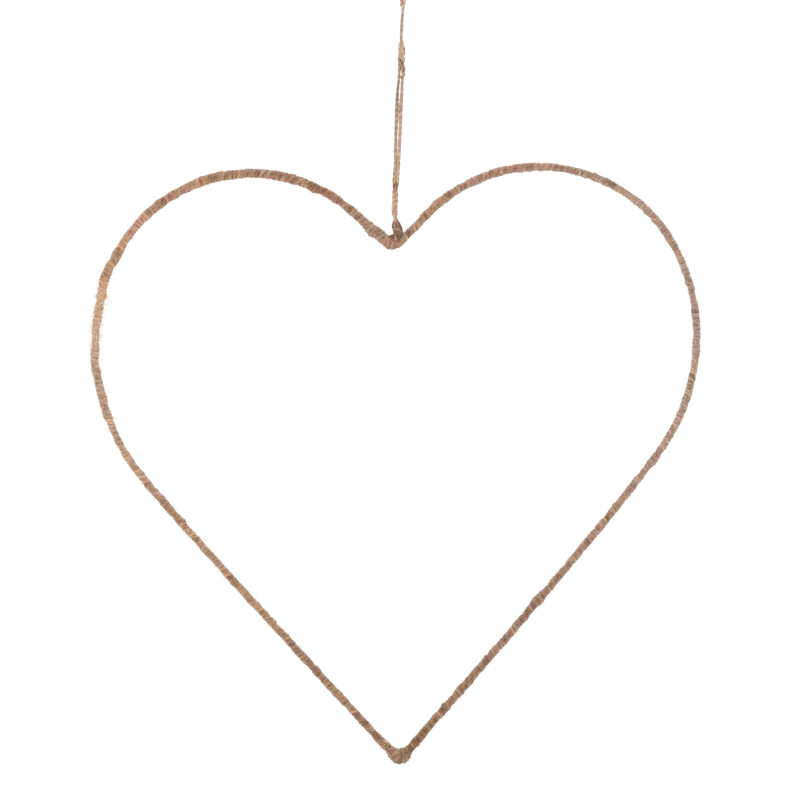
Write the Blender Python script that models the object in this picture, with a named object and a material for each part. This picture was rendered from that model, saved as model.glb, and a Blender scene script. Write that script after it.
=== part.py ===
"""A heart-shaped ring wound with jute twine, with the tied cord that it hangs from.

The heart lies in the XZ plane, as it hangs: X to the right, Z up, Y away from the viewer.
The origin is the top of the inside of the hanging loop, where a nail or a hook carries it.
Sizes are in metres, worked out from the values below.
"""

import math

import bmesh
import bpy
from mathutils import Vector

MM = 0.001

# The heart's reach and height, along the middle of the wound ring
LEFT_REACH = 198.2 * MM  # from the cleft to the widest point of the left side
RIGHT_REACH = 198.0 * MM
LEFT_RISE = 48.1 * MM  # from the cleft up to the top of the left lobe
RIGHT_RISE = 52.7 * MM
TIP_DEPTH = 338.3 * MM  # from the cleft down to the tip
CLEFT_BEND = 5.0 * MM  # length of each arm that the rounded bend at the cleft takes
TIP_BEND = 8.0 * MM

# The winding
WRAP_DIAMETER = 5.0 * MM  # the ring's usual thickness over the twine
TWINE_DIAMETER = 1.8 * MM
CLEARANCE = 0.3 * MM  # left between pieces that touch

# The hanger
CLEFT_DROP = 190.0 * MM  # from the top of the loop's inside down to the cleft
CLEFT_SIDE = -5.1 * MM  # the cleft's place beside the loop
LOOP_HEIGHT = 23.7 * MM
LOOP_WIDTH = 13.0 * MM  # between the middles of the loop's two sides
LOOP_FOOT = 0.62 * TWINE_DIAMETER  # how far each side's lower end is from the middle
LOOP_KNOT_LENGTH = 8.6 * MM
LOOP_KNOT_WIDTH = 4.6 * MM
HANGER_KNOT_DROP = 56.9 * MM  # from the top of the loop's inside to the top of the long knot
HANGER_KNOT_LENGTH = 23.7 * MM
HANGER_KNOT_WIDTH = 4.4 * MM
TIE_KNOT_WIDTH = 6.9 * MM
TIE_KNOT_LENGTH = 11.0 * MM
TIE_NECK_RISE = 16.0 * MM  # from the cleft up to the flat top of the tie's knot
TIE_KNOT_SHIFT = 1.5 * MM  # how far the knot leans to the right on its way down
TWIST_LENGTH = 27.0 * MM  # above the tie, where the two legs twist round each other

# Each half of the heart is four Bezier pieces: from the cleft to the top of its lobe, to its
# widest point, to its shoulder, to the tip. A control point is (share of the half's reach,
# share of its rise, or of the tip's depth where it is below the cleft).
LEFT_HALF = (
    (0.0, 0.0), (0.089, 0.113), (0.184, 1.0),
    (0.482, 1.0), (0.775, 1.0), (1.0, -0.002),
    (1.0, -0.191), (1.0, -0.297), (0.915, -0.414),
    (0.732, -0.526), (0.594, -0.611), (0.308, -0.802), (-0.012, -1.0),
)
RIGHT_HALF = (
    (0.0, 0.0), (0.056, 0.147), (0.183, 1.0),
    (0.482, 1.0), (0.706, 1.0), (1.0, 0.329),
    (1.0, -0.174), (1.0, -0.334), (0.843, -0.423),
    (0.750, -0.494), (0.628, -0.586), (0.147, -0.914), (0.012, -1.0),
)

# The ring's thickness as a share of WRAP_DIAMETER, by the share of the way round it, from
# the cleft down the right side to the tip and up the left side. The winding is uneven.
THICKNESS = (
    (0.000, 0.88), (0.008, 1.02), (0.027, 1.10), (0.080, 1.06), (0.095, 0.95), (0.143, 0.91),
    (0.164, 0.95), (0.195, 0.90), (0.216, 0.96), (0.248, 0.88), (0.270, 0.94), (0.300, 0.92),
    (0.342, 1.00), (0.374, 0.97), (0.390, 1.20), (0.401, 1.02), (0.458, 1.12), (0.479, 1.09),
    (0.490, 1.22), (0.496, 1.75), (0.500, 2.00), (0.503, 1.80), (0.508, 1.20), (0.516, 0.97),
    (0.546, 1.10), (0.556, 0.97), (0.623, 1.00), (0.641, 0.93), (0.680, 1.00), (0.710, 0.91),
    (0.744, 1.11), (0.754, 1.03), (0.765, 1.14), (0.780, 0.90), (0.809, 1.24), (0.824, 1.22),
    (0.843, 0.95), (0.854, 1.14), (0.867, 1.07), (0.888, 1.26), (0.909, 1.15), (0.930, 1.24),
    (0.951, 1.13), (0.969, 1.14), (0.977, 1.28), (0.984, 1.55), (0.990, 1.46), (0.996, 1.08),
    (1.000, 0.88),
)
WAVE_SHARE = 0.03  # how far the uneven winding makes the thickness vary, either way
WAVE_COUNTS = (61, 97)  # waves round the whole ring; two counts, so that they don't repeat
WAVE_SHIFT = 1.3  # of the second count's waves, in radians
RING_STEP = 5.6 * MM  # between the ring's cross-sections
RING_SIDES = 10
BEND_STEPS = 6
BEZIER_STEPS = 60
CLEFT_SECTIONS = 12  # cross-sections either side of the cleft, among which the tie's turns lie

# The hanger's middle line, chosen by eye, as (x, z) in millimetres from the origin
HANGER_ROUTE = (
    (0.0, -24.0), (-0.2, -33.0), (-0.2, -36.0), (-0.7, -42.0), (-0.85, -46.5), (-1.05, -49.7),
    (-1.2, -53.0), (-1.0, -57.0), (-0.8, -61.5), (-1.2, -68.0), (-1.2, -74.0), (-1.7, -80.6),
    (-2.2, -89.0), (-2.8, -100.3), (-3.1, -110.2), (-3.7, -126.7), (-4.0, -137.2),
    (-4.6, -144.4), (-5.0, -151.0), (-5.2, -158.2), (-5.6, -165.5), (-5.4, -170.0),
    (-4.7, -174.3),
)
# The gap between the two legs, as (distance below the origin, gap) in millimetres
LEG_GAP = ((80.6, 0.6), (89.0, 1.4), (110.0, 1.2), (137.0, 0.8), (146.0, 0.45))
LEG_TWIST = math.radians(450.0)
HANGER_LINE_POINTS = 200
LEG_STEP = 4.6 * MM
TWISTED_LEG_STEP = 1.5 * MM
CORD_BEVEL_RESOLUTION = 2
LOOP_POINTS = 33

TIE_TURNS = 6
TIE_FIRST_TURN = -4.4 * MM  # the first turn's place beside the cleft
TIE_TURN_OVERLAP = 0.10  # how far one turn presses into the next, as a share of the twine
TIE_TURN_LEAN = 0.3 * MM  # how much farther right each turn passes over the top
TURN_STEPS = 14
TURN_SIDES = 8
KNOT_SIDES = 14

JUTE_WRAP = ("jute_wrap", (0.40, 0.25, 0.17), 0.9)
JUTE_TWINE = ("jute_twine", (0.45, 0.29, 0.20), 0.9)


def clear_scene():
    for thing in list(bpy.data.objects):
        bpy.data.objects.remove(thing, do_unlink=True)


def make_material(name, colour, roughness):
    material = bpy.data.materials.new(name)
    material.use_nodes = True
    shader = material.node_tree.nodes["Principled BSDF"]
    shader.inputs["Base Color"].default_value = (*colour, 1.0)
    shader.inputs["Roughness"].default_value = roughness
    shader.inputs["Metallic"].default_value = 0.0
    return material


def add_object(name, data, finish):
    thing = bpy.data.objects.new(name, data)
    data.materials.append(make_material(name + "_" + finish[0], finish[1], finish[2]))
    bpy.context.collection.objects.link(thing)
    return thing


def blend_table(table, place):
    """The value at a place in a table of (place, value), with a smooth step between rows."""
    if place <= table[0][0]:
        return table[0][1]
    for (start, low), (end, high) in zip(table, table[1:]):
        if place <= end:
            share = (place - start) / (end - start)
            smooth = share * share * (3.0 - 2.0 * share)
            return low + (high - low) * smooth
    return table[-1][1]


def smooth_route(points, count):
    """Points on one smooth curve (Catmull-Rom) through the given ones, evenly by index."""
    padded = [2 * points[0] - points[1], *points, 2 * points[-1] - points[-2]]
    result = []
    for index in range(count):
        where = index / (count - 1) * (len(points) - 1)
        start = min(int(where), len(points) - 2)
        t = where - start
        p0, p1, p2, p3 = padded[start:start + 4]
        result.append(0.5 * (
            2 * p1 + (p2 - p0) * t + (2 * p0 - 5 * p1 + 4 * p2 - p3) * t**2
            + (3 * p1 - p0 - 3 * p2 + p3) * t**3
        ))
    return result


HANGER_LINE = smooth_route(
    [Vector((x * MM, 0.0, z * MM)) for x, z in HANGER_ROUTE], HANGER_LINE_POINTS
)


def travel(points):
    """How far along the line each point is."""
    far = [0.0]
    for start, end in zip(points, points[1:]):
        far.append(far[-1] + (end - start).length)
    return far


def point_at(points, far, distance):
    """The point at a distance along the line."""
    for index in range(1, len(points)):
        if distance <= far[index]:
            share = (distance - far[index - 1]) / (far[index] - far[index - 1])
            return points[index - 1].lerp(points[index], share)
    return points[-1].copy()


def cleft_point():
    return Vector((CLEFT_SIDE, 0.0, -CLEFT_DROP))


def half_outline(shares, side, reach, rise):
    """The middle line of one half of the heart, from the cleft to the tip."""
    controls = []
    for across, up in shares:
        height = up * rise if up > 0.0 else up * TIP_DEPTH
        controls.append(cleft_point() + Vector((side * across * reach, 0.0, height)))
    line = [controls[0]]
    for first in range(0, len(controls) - 1, 3):
        p0, p1, p2, p3 = controls[first:first + 4]
        for step in range(1, BEZIER_STEPS + 1):
            t = step / BEZIER_STEPS
            u = 1.0 - t
            line.append(u**3 * p0 + 3 * u**2 * t * p1 + 3 * u * t**2 * p2 + t**3 * p3)
    return line


def bend(before, corner, after):
    """The points of a rounded corner between two straight arms, without its ends."""
    points = []
    for step in range(1, BEND_STEPS):
        t = step / BEND_STEPS
        points.append((1 - t) ** 2 * before + 2 * t * (1 - t) * corner + t**2 * after)
    return points


def arm(line, start_cut, end_cut):
    """The line without its two ends, in even steps."""
    far = travel(line)
    length = far[-1] - start_cut - end_cut
    steps = round(length / RING_STEP)
    return [point_at(line, far, start_cut + length * step / steps) for step in range(steps + 1)]


def heart_line():
    """The closed middle line of the ring, from the cleft down the right side and back."""
    right = half_outline(RIGHT_HALF, 1.0, RIGHT_REACH, RIGHT_RISE)
    left = half_outline(LEFT_HALF, -1.0, LEFT_REACH, LEFT_RISE)
    down = arm(right, CLEFT_BEND, TIP_BEND)
    up = arm(left, CLEFT_BEND, TIP_BEND)[::-1]
    tip = bend(down[-1], right[-1], up[0])
    cleft = bend(up[-1], right[0], down[0])
    middle = len(cleft) // 2
    return cleft[middle:] + down + tip + up + cleft[:middle]


def ring_radius(share, extra):
    turned = 2 * math.pi * share
    wave = math.sin(turned * WAVE_COUNTS[0]) + math.sin(turned * WAVE_COUNTS[1] + WAVE_SHIFT)
    size = blend_table(THICKNESS, share) * (1.0 + WAVE_SHARE * 0.5 * wave)
    return 0.5 * WRAP_DIAMETER * size + extra


def ring_mesh(name, extra):
    """The ring as one closed tube; extra is added to its radius all round."""
    line = heart_line()
    far = travel(line + [line[0]])
    mesh = bmesh.new()
    rings = []
    for index, point in enumerate(line):
        forward = (line[(index + 1) % len(line)] - line[index - 1]).normalized()
        inward = Vector((forward.z, 0.0, -forward.x))
        radius = ring_radius(far[index] / far[-1], extra)
        ring = []
        for side in range(RING_SIDES):
            angle = 2 * math.pi * (side + 0.5) / RING_SIDES
            offset = inward * math.cos(angle) + Vector((0.0, math.sin(angle), 0.0))
            ring.append(mesh.verts.new(point + radius * offset))
        rings.append(ring)
    for index, ring in enumerate(rings):
        after = rings[(index + 1) % len(rings)]
        for side in range(RING_SIDES):
            across = (side + 1) % RING_SIDES
            mesh.faces.new((ring[side], ring[across], after[across], after[side]))
    return finish_mesh(mesh, name)


def finish_mesh(mesh, name):
    bmesh.ops.recalc_face_normals(mesh, faces=mesh.faces)
    data = bpy.data.meshes.new(name)
    mesh.to_mesh(data)
    mesh.free()
    data.shade_smooth()
    return data


def cord_object(name, points):
    """A plain tube of twine with filled ends along the points."""
    curve = bpy.data.curves.new(name, "CURVE")
    curve.dimensions = "3D"
    curve.bevel_depth = 0.5 * TWINE_DIAMETER
    curve.bevel_resolution = CORD_BEVEL_RESOLUTION
    curve.use_fill_caps = True
    spline = curve.splines.new("POLY")
    spline.points.add(len(points) - 1)
    for slot, point in zip(spline.points, points):
        slot.co = (*point, 1.0)
    return add_object(name, curve, JUTE_TWINE)


def lumpy_knot(mesh, middle_line, widths, depth_share, turns, ridge):
    """A knot's outer form: rings along the line, with ridges where the strands wind round.

    Its two ends are flat, where the strands go in.
    """
    rings = []
    for index, (point, width) in enumerate(zip(middle_line, widths)):
        along = index / (len(middle_line) - 1)
        ring = []
        for side in range(KNOT_SIDES):
            angle = 2 * math.pi * side / KNOT_SIDES
            swell = 1.0 + ridge * math.sin(2 * angle + 2 * math.pi * turns * along)
            across = 0.5 * width * swell * math.cos(angle)
            deep = 0.5 * width * swell * depth_share * math.sin(angle)
            ring.append(mesh.verts.new(point + Vector((across, deep, 0.0))))
        rings.append(ring)
    for ring, after in zip(rings, rings[1:]):
        for side in range(KNOT_SIDES):
            other = (side + 1) % KNOT_SIDES
            mesh.faces.new((ring[side], after[side], after[other], ring[other]))
    mesh.faces.new(rings[0])
    mesh.faces.new(rings[-1][::-1])


def hanger_x(height):
    """The hanger's place beside the origin at a height."""
    for above, below in zip(HANGER_LINE, HANGER_LINE[1:]):
        if below.z <= height:
            share = (above.z - height) / (above.z - below.z)
            return above.x + (below.x - above.x) * share
    return HANGER_LINE[-1].x


def knot_line(top, bottom, steps):
    heights = [top + (bottom - top) * step / steps for step in range(steps + 1)]
    return [Vector((hanger_x(height), 0.0, height)) for height in heights]


def tie_top():
    return cleft_point().z + TIE_NECK_RISE


def leg_point(side, height):
    """The middle of one leg at a height: beside the hanger's line, and twisted low down."""
    twist_start = tie_top() + TWIST_LENGTH
    turned = max(0.0, (twist_start - height) / TWIST_LENGTH)
    angle = LEG_TWIST * turned
    half = 0.5 * (TWINE_DIAMETER + blend_table(LEG_GAP, -height / MM) * MM)
    across = side * half * math.cos(angle)
    return Vector((hanger_x(height) + across, side * half * math.sin(angle), height))


def leg_points(side):
    """One of the two strands from the long knot down to the tie."""
    height = -(HANGER_KNOT_DROP + HANGER_KNOT_LENGTH) - CLEARANCE
    bottom = tie_top() + CLEARANCE
    twist_start = tie_top() + TWIST_LENGTH
    points = []
    while height > bottom + 0.5 * TWISTED_LEG_STEP:
        points.append(leg_point(side, height))
        height -= LEG_STEP if height > twist_start + LEG_STEP else TWISTED_LEG_STEP
    points.append(leg_point(side, bottom))
    return points


def make_heart_frame():
    add_object("heart_frame", ring_mesh("heart_frame", 0.0), JUTE_WRAP)


def ring_at(across):
    """The ring's middle height, slope and radius near the cleft, at a place beside it."""
    line = heart_line()
    far = travel(line + [line[0]])
    sections = range(-CLEFT_SECTIONS, CLEFT_SECTIONS)
    near = [(line[index], ring_radius(far[index] / far[-1], 0.0)) for index in sections]
    for (start, radius), (end, next_radius) in zip(near, near[1:]):
        if end.x >= across:
            share = (across - start.x) / (end.x - start.x)
            slope = (end.z - start.z) / (end.x - start.x)
            return start.lerp(end, share).z, slope, radius + (next_radius - radius) * share
    return near[-1][0].z, 0.0, near[-1][1]


def tie_turn(mesh, side_x):
    """One turn of twine round the ring, as a closed tube; side_x is its place at the cleft."""
    middle, slope, radius = ring_at(cleft_point().x + side_x)
    reach_y = radius + CLEARANCE + 0.5 * TWINE_DIAMETER
    reach_z = radius * math.hypot(1.0, slope) + CLEARANCE + 0.5 * TWINE_DIAMETER
    path = []
    for step in range(TURN_STEPS):
        angle = 2 * math.pi * step / TURN_STEPS
        across = cleft_point().x + side_x + 0.5 * TIE_TURN_LEAN * math.cos(angle)
        height = middle + reach_z * math.cos(angle)
        path.append(Vector((across, reach_y * math.sin(angle), height)))
    rings = []
    for index, point in enumerate(path):
        forward = (path[(index + 1) % TURN_STEPS] - path[index - 1]).normalized()
        side_way = forward.cross(Vector((1.0, 0.0, 0.0))).normalized()
        other_way = forward.cross(side_way)
        ring = []
        for corner in range(TURN_SIDES):
            angle = 2 * math.pi * corner / TURN_SIDES
            offset = side_way * math.cos(angle) + other_way * math.sin(angle)
            ring.append(mesh.verts.new(point + 0.5 * TWINE_DIAMETER * offset))
        rings.append(ring)
    for index, ring in enumerate(rings):
        after = rings[(index + 1) % TURN_STEPS]
        for corner in range(TURN_SIDES):
            other = (corner + 1) % TURN_SIDES
            mesh.faces.new((ring[corner], ring[other], after[other], after[corner]))


def tool_object(name, data):
    """A cutter or an added form that only shapes another object."""
    thing = bpy.data.objects.new(name, data)
    bpy.context.collection.objects.link(thing)
    thing.hide_render = True
    thing.display_type = "WIRE"
    return thing


def add_boolean(thing, tool, operation):
    step = thing.modifiers.new(tool.name, "BOOLEAN")
    step.operation = operation
    step.object = tool


def make_cleft_tie():
    """The twine round the ring at the cleft, with the knot on top of it."""
    shape = (0.60, 0.70, 0.88, 1.0, 1.04, 1.0, 1.0, 0.98, 0.90)
    top = Vector((hanger_x(tie_top()), 0.0, tie_top()))
    line = []
    for step in range(len(shape)):
        down = step / (len(shape) - 1)
        lean = TIE_KNOT_SHIFT * min(1.0, 2.0 * down)
        line.append(top + Vector((lean, 0.0, -TIE_KNOT_LENGTH * down)))
    knot = bmesh.new()
    widths = [TIE_KNOT_WIDTH * share for share in shape]
    lumpy_knot(knot, line, widths, depth_share=0.80, turns=1.2, ridge=0.10)
    tie = add_object("cleft_tie", finish_mesh(knot, "cleft_tie"), JUTE_TWINE)
    for number in range(TIE_TURNS):
        turn = bmesh.new()
        tie_turn(turn, TIE_FIRST_TURN + number * (1.0 - TIE_TURN_OVERLAP) * TWINE_DIAMETER)
        name = "tie_turn_" + str(number + 1)
        add_boolean(tie, tool_object(name, finish_mesh(turn, name)), "UNION")
    room = tool_object("ring_room", ring_mesh("ring_room", CLEARANCE))
    add_boolean(tie, room, "DIFFERENCE")


def make_hanger_knot():
    """The long knot where the two legs are joined."""
    top = -HANGER_KNOT_DROP
    shape = (0.62, 0.80, 0.94, 0.98, 0.92, 0.88, 0.94, 1.0, 1.08, 1.14, 1.16, 1.12, 1.0, 0.92, 0.90)
    line = knot_line(top, top - HANGER_KNOT_LENGTH, len(shape) - 1)
    widths = [HANGER_KNOT_WIDTH * share for share in shape]
    mesh = bmesh.new()
    lumpy_knot(mesh, line, widths, depth_share=0.82, turns=2.0, ridge=0.09)
    add_object("hanger_knot", finish_mesh(mesh, "hanger_knot"), JUTE_TWINE)


def make_loop_knot():
    """The knot under the hanging loop."""
    top = -LOOP_HEIGHT - CLEARANCE
    shape = (0.90, 1.0, 1.08, 1.10, 1.04, 0.98, 0.88, 0.72, 0.54)
    line = knot_line(top, top - LOOP_KNOT_LENGTH, len(shape) - 1)
    widths = [LOOP_KNOT_WIDTH * share for share in shape]
    mesh = bmesh.new()
    lumpy_knot(mesh, line, widths, depth_share=0.85, turns=1.0, ridge=0.09)
    add_object("loop_knot", finish_mesh(mesh, "loop_knot"), JUTE_TWINE)


def make_hanger_strand():
    """The single strand between the two knots."""
    top = -LOOP_HEIGHT - LOOP_KNOT_LENGTH - 2 * CLEARANCE
    bottom = -HANGER_KNOT_DROP + CLEARANCE
    steps = max(2, round((top - bottom) / LEG_STEP))
    cord_object("hanger_strand", knot_line(top, bottom, steps))


def make_hanging_loop():
    """The loop at the top, both ends in its knot."""
    half = 0.5 * LOOP_WIDTH
    right = [
        Vector((LOOP_FOOT, 0.0, -LOOP_HEIGHT)),
        Vector((LOOP_FOOT + 0.26 * half, 0.0, -0.80 * LOOP_HEIGHT)),
        Vector((0.74 * half, 0.0, -0.58 * LOOP_HEIGHT)),
        Vector((half, 0.0, -0.34 * LOOP_HEIGHT)),
        Vector((0.78 * half, 0.0, -0.10 * LOOP_HEIGHT)),
    ]
    crown = [Vector((0.0, 0.0, 0.5 * TWINE_DIAMETER))]
    left = [Vector((-point.x, 0.0, point.z)) for point in right[::-1]]
    cord_object("hanging_loop", smooth_route(right + crown + left, LOOP_POINTS))


def main():
    clear_scene()
    make_heart_frame()
    make_cleft_tie()
    cord_object("hanger_leg_left", leg_points(-1.0))
    cord_object("hanger_leg_right", leg_points(1.0))
    make_hanger_knot()
    make_hanger_strand()
    make_loop_knot()
    make_hanging_loop()


main()
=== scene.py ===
"""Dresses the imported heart: real two-ply jute twine wound, tied and knotted, with stray fibres.

Everything is in metres in the model's own frame: X to the right, Z up, Y away from the viewer,
with the origin at the top of the inside of the hanging loop.
"""

import math

import bpy
import numpy as np
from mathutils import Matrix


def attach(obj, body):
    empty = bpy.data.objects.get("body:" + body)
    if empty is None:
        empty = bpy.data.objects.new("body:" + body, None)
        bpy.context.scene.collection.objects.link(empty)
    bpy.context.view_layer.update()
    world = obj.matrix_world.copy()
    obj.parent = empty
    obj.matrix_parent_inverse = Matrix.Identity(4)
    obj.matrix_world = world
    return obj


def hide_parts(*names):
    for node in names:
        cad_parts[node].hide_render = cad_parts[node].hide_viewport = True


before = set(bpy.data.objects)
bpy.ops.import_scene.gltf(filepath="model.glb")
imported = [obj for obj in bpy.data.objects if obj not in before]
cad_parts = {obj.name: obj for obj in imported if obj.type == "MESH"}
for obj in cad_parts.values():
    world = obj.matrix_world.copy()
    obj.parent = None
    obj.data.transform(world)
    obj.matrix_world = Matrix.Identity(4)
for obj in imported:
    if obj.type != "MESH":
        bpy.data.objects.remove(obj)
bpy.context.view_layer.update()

MM = 0.001
BODY = "root"
UP = np.array((0.0, 0.0, 1.0))
BACK = np.array((0.0, 1.0, 0.0))

# The heart's measures, as in the model's source
LEFT_REACH = 198.2 * MM
RIGHT_REACH = 198.0 * MM
LEFT_RISE = 48.1 * MM
RIGHT_RISE = 52.7 * MM
TIP_DEPTH = 338.3 * MM
CLEFT_BEND = 5.0 * MM
TIP_BEND = 8.0 * MM
WRAP_DIAMETER = 5.0 * MM
TWINE_DIAMETER = 1.8 * MM
CLEARANCE = 0.3 * MM
CLEFT = np.array((-5.1, 0.0, -190.0)) * MM
LOOP_HEIGHT = 23.7 * MM
LOOP_WIDTH = 13.0 * MM
HANGER_KNOT_DROP = 56.9 * MM
HANGER_KNOT_LENGTH = 23.7 * MM
TIE_TOP = CLEFT[2] + 16.0 * MM

# Bezier control points of each half, as shares of its reach and of its rise or depth
LEFT_HALF = (
    (0.0, 0.0), (0.089, 0.113), (0.184, 1.0),
    (0.482, 1.0), (0.775, 1.0), (1.0, -0.002),
    (1.0, -0.191), (1.0, -0.297), (0.915, -0.414),
    (0.732, -0.526), (0.594, -0.611), (0.308, -0.802), (-0.012, -1.0),
)
RIGHT_HALF = (
    (0.0, 0.0), (0.056, 0.147), (0.183, 1.0),
    (0.482, 1.0), (0.706, 1.0), (1.0, 0.329),
    (1.0, -0.174), (1.0, -0.334), (0.843, -0.423),
    (0.750, -0.494), (0.628, -0.586), (0.147, -0.914), (0.012, -1.0),
)
# How thick the wound ring is, as shares of WRAP_DIAMETER, by the share of the way round
THICKNESS = (
    (0, 0.88), (0.008, 1.02), (0.0142, 0.90), (0.0205, 0.88), (0.027, 1.10), (0.0331, 1.16),
    (0.0521, 1.03), (0.0584, 1.06), (0.0647, 0.99), (0.071, 1.01), (0.0773, 1.12), (0.095, 0.95),
    (0.1026, 0.91), (0.1152, 0.99), (0.1342, 0.92), (0.1405, 0.85), (0.1531, 0.95), (0.164, 0.95),
    (0.191, 0.84), (0.195, 0.90), (0.216, 0.96), (0.248, 0.88), (0.27, 0.94), (0.2731, 1.01),
    (0.2794, 1.00), (0.3, 0.92), (0.311, 0.89), (0.3173, 0.94), (0.3236, 0.98), (0.3299, 1.06),
    (0.3362, 0.93), (0.342, 1.00), (0.3552, 1.02), (0.3615, 0.90), (0.374, 0.97), (0.3867, 1.04),
    (0.39, 1.20), (0.3931, 1.10), (0.401, 1.02), (0.412, 0.96), (0.4183, 1.05), (0.4246, 0.93),
    (0.4309, 1.02), (0.4373, 1.05), (0.4436, 0.99), (0.4499, 1.06), (0.4562, 0.99), (0.4625, 0.99),
    (0.479, 1.09), (0.4878, 1.17), (0.4955, 1.16), (0.4985, 1.68), (0.502, 1.74), (0.5052, 1.34),
    (0.5085, 1.02), (0.516, 0.97), (0.5193, 0.79), (0.5257, 0.93), (0.532, 1.02), (0.5446, 1.04),
    (0.556, 0.97), (0.5635, 1.04), (0.5699, 1.02), (0.5888, 0.91), (0.5951, 0.88), (0.6077, 0.92),
    (0.6204, 1.06), (0.641, 0.93), (0.6456, 0.88), (0.6519, 0.97), (0.6646, 0.92), (0.68, 1.00),
    (0.6835, 0.91), (0.7025, 1.00), (0.71, 0.91), (0.734, 0.79), (0.7403, 1.01), (0.744, 1.11),
    (0.754, 1.05), (0.7593, 1.06), (0.765, 1.16), (0.7719, 0.96), (0.778, 1.04), (0.7845, 0.88),
    (0.7909, 1.18), (0.7972, 1.02), (0.8035, 1.07), (0.809, 1.24), (0.824, 1.22), (0.8414, 1.03),
    (0.854, 1.18), (0.8603, 1.17), (0.872, 1.08), (0.888, 1.26), (0.905, 1.22), (0.9108, 1.05),
    (0.914, 1.08), (0.93, 1.24), (0.9361, 1.23), (0.9424, 1.11), (0.9487, 1.20), (0.955, 1.10),
    (0.9613, 1.16), (0.969, 1.12), (0.974, 1.03), (0.9803, 1.11), (0.9866, 1.59), (0.992, 1.34),
    (0.996, 1.08), (1, 0.88),
)
# How far the real ring sways inward from its plain line, both in millimetres, by the way round
RING_SWAY = (
    (0, 0), (10, 0.25), (18, 0.4), (33, 0.35), (40, 0.1), (50, 0), (66, 0.55), (76, 0.5), (83, 0.3),
    (105, 0.65), (108, 0.5), (120, 0.3), (128, 0.5), (140, 0.1), (144, 0.3), (168, -0.1),
    (176, -0.2), (191, -0.25), (199, -0.15), (223, 0.2), (231, 0), (239, 0.15), (255, -0.05),
    (275, -0.4), (300, -0.2), (330, -0.4), (350, -0.6), (362, -0.2), (405, -0.1), (418, -0.4),
    (430, -0.1), (444, 0), (468, -0.4), (492, 0.1), (499, -0.15), (523, -0.15), (540, 0.1),
    (550, 0.25), (563, 0), (580, 0), (588, 0.3), (600, 0.1), (618, -0.2), (626, 0), (634, 0.2),
    (642, -0.25), (650, 0.1), (657, 0.45), (685, 0.35), (695, 0.1), (705, 0.4), (713, 0.2),
    (728, 0.4), (736, 0.25), (742, -0.1), (752, 0.3), (760, 0.15), (768, -0.3), (776, 0.15),
    (785, -0.2), (799, 0.15), (815, 0.05), (828, 0.45), (857, 0.85), (871, 0.6), (878, 0.25),
    (888, -0.2), (902, -0.6), (926, 0), (935, 0.3), (948, 0.4), (957, -0.4), (968, 0.65),
    (981, 0.9), (989, 1.1), (1003, 0.9), (1014, -0.5), (1023, -0.2), (1029, 0.6), (1042, 0.5),
    (1052, 0.15), (1085, 0.4), (1107, 0.4), (1112, 0.1), (1123, 0.5), (1138, 0.3), (1150, 0.1),
    (1170, 0.2), (1184, 0.5), (1192, 0.2), (1202, 0), (1226, 0.1), (1231.8, 0.5), (1236, -0.5),
    (1241, -0.3), (1250.5, 0),
)
# Lumps of wrap on one side: (place, side from -1 outer to 1 inner, height, half length), in mm
LUMPS = (
    (98.0, 1.0, 0.3, 3.0), (145.0, -1.0, 0.4, 3.0), (284.0, 1.0, 0.4, 2.0),
    (345.0, -1.0, 0.3, 3.0), (368.0, -1.0, 0.8, 3.0), (452.0, -1.0, 0.3, 2.5),
    (490.0, 1.0, 0.5, 3.2), (490.0, -1.0, 0.4, 3.0), (566.0, 1.0, 0.4, 2.0),
    (581.0, 1.0, 0.4, 1.6), (622.5, -1.0, 1.1, 3.0), (626.0, -1.0, 0.8, 2.5),
    (629.5, 1.0, 0.7, 2.2), (734.0, 1.0, 0.4, 1.6), (784.0, -1.0, 0.4, 2.5),
    (826.0, -1.0, 0.4, 2.5), (857.0, 1.0, 0.3, 3.0), (878.0, 1.0, 0.4, 2.5),
    (987.0, 1.0, 0.4, 2.2), (1003.0, 1.0, 0.4, 2.2), (1079.0, 0.0, 0.3, 4.0),
    (1184.0, 1.0, 0.3, 1.8), (1238.5, -1.0, 0.8, 2.0), (1244.5, -1.0, 1.1, 3.5),
    (1247.5, 1.0, 0.8, 2.5),
)
# How light the winding is, by the way round in millimetres; it is worn pale at the far left
RING_TONE = (
    (0.0, 0.1), (40.0, -0.1), (80.0, 0.2), (160.0, 0.0), (260.0, -0.3), (320.0, -0.1), (352.0, 0.3),
    (375.0, -0.5), (400.0, 0.0), (430.0, -0.2), (480.0, -0.4), (526.0, 0.1), (600.0, -0.6),
    (618.0, -0.7), (632.0, 0.0), (680.0, 0.0), (700.0, 0.0), (711.0, 0.2), (740.0, -0.3),
    (763.0, 0.4), (790.0, -0.1), (855.0, -0.2), (880.0, 0.1), (900.0, -0.3), (921.0, 0.5),
    (950.0, -0.1), (962.0, 0.5), (974.0, 0.6), (984.0, 1.2), (1002.0, 1.2), (1011.0, 0.6),
    (1022.0, 0.1), (1038.0, 0.6), (1050.0, 0.4), (1090.0, -0.3), (1210.0, -0.6), (1250.0, 0.1),
)
# The worn stretch at the far left, from and to, in millimetres round the ring
FRAYED = (966.0, 1013.0)
# How much painted rim light makes the ring's two sides paler than its front and back, and at which
# share of the half width across the ring a turn keeps its own tone
PAINTED_RIM_LIGHT = 1.3
RIM_LIGHT_MIDDLE = 0.38
# How much painted shade darkens the winding below the cleft, and painted light makes it paler one
# reach away
PAINTED_CLEFT_SHADE = 0.42
PAINTED_SIDE_LIGHT = 0.9

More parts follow.
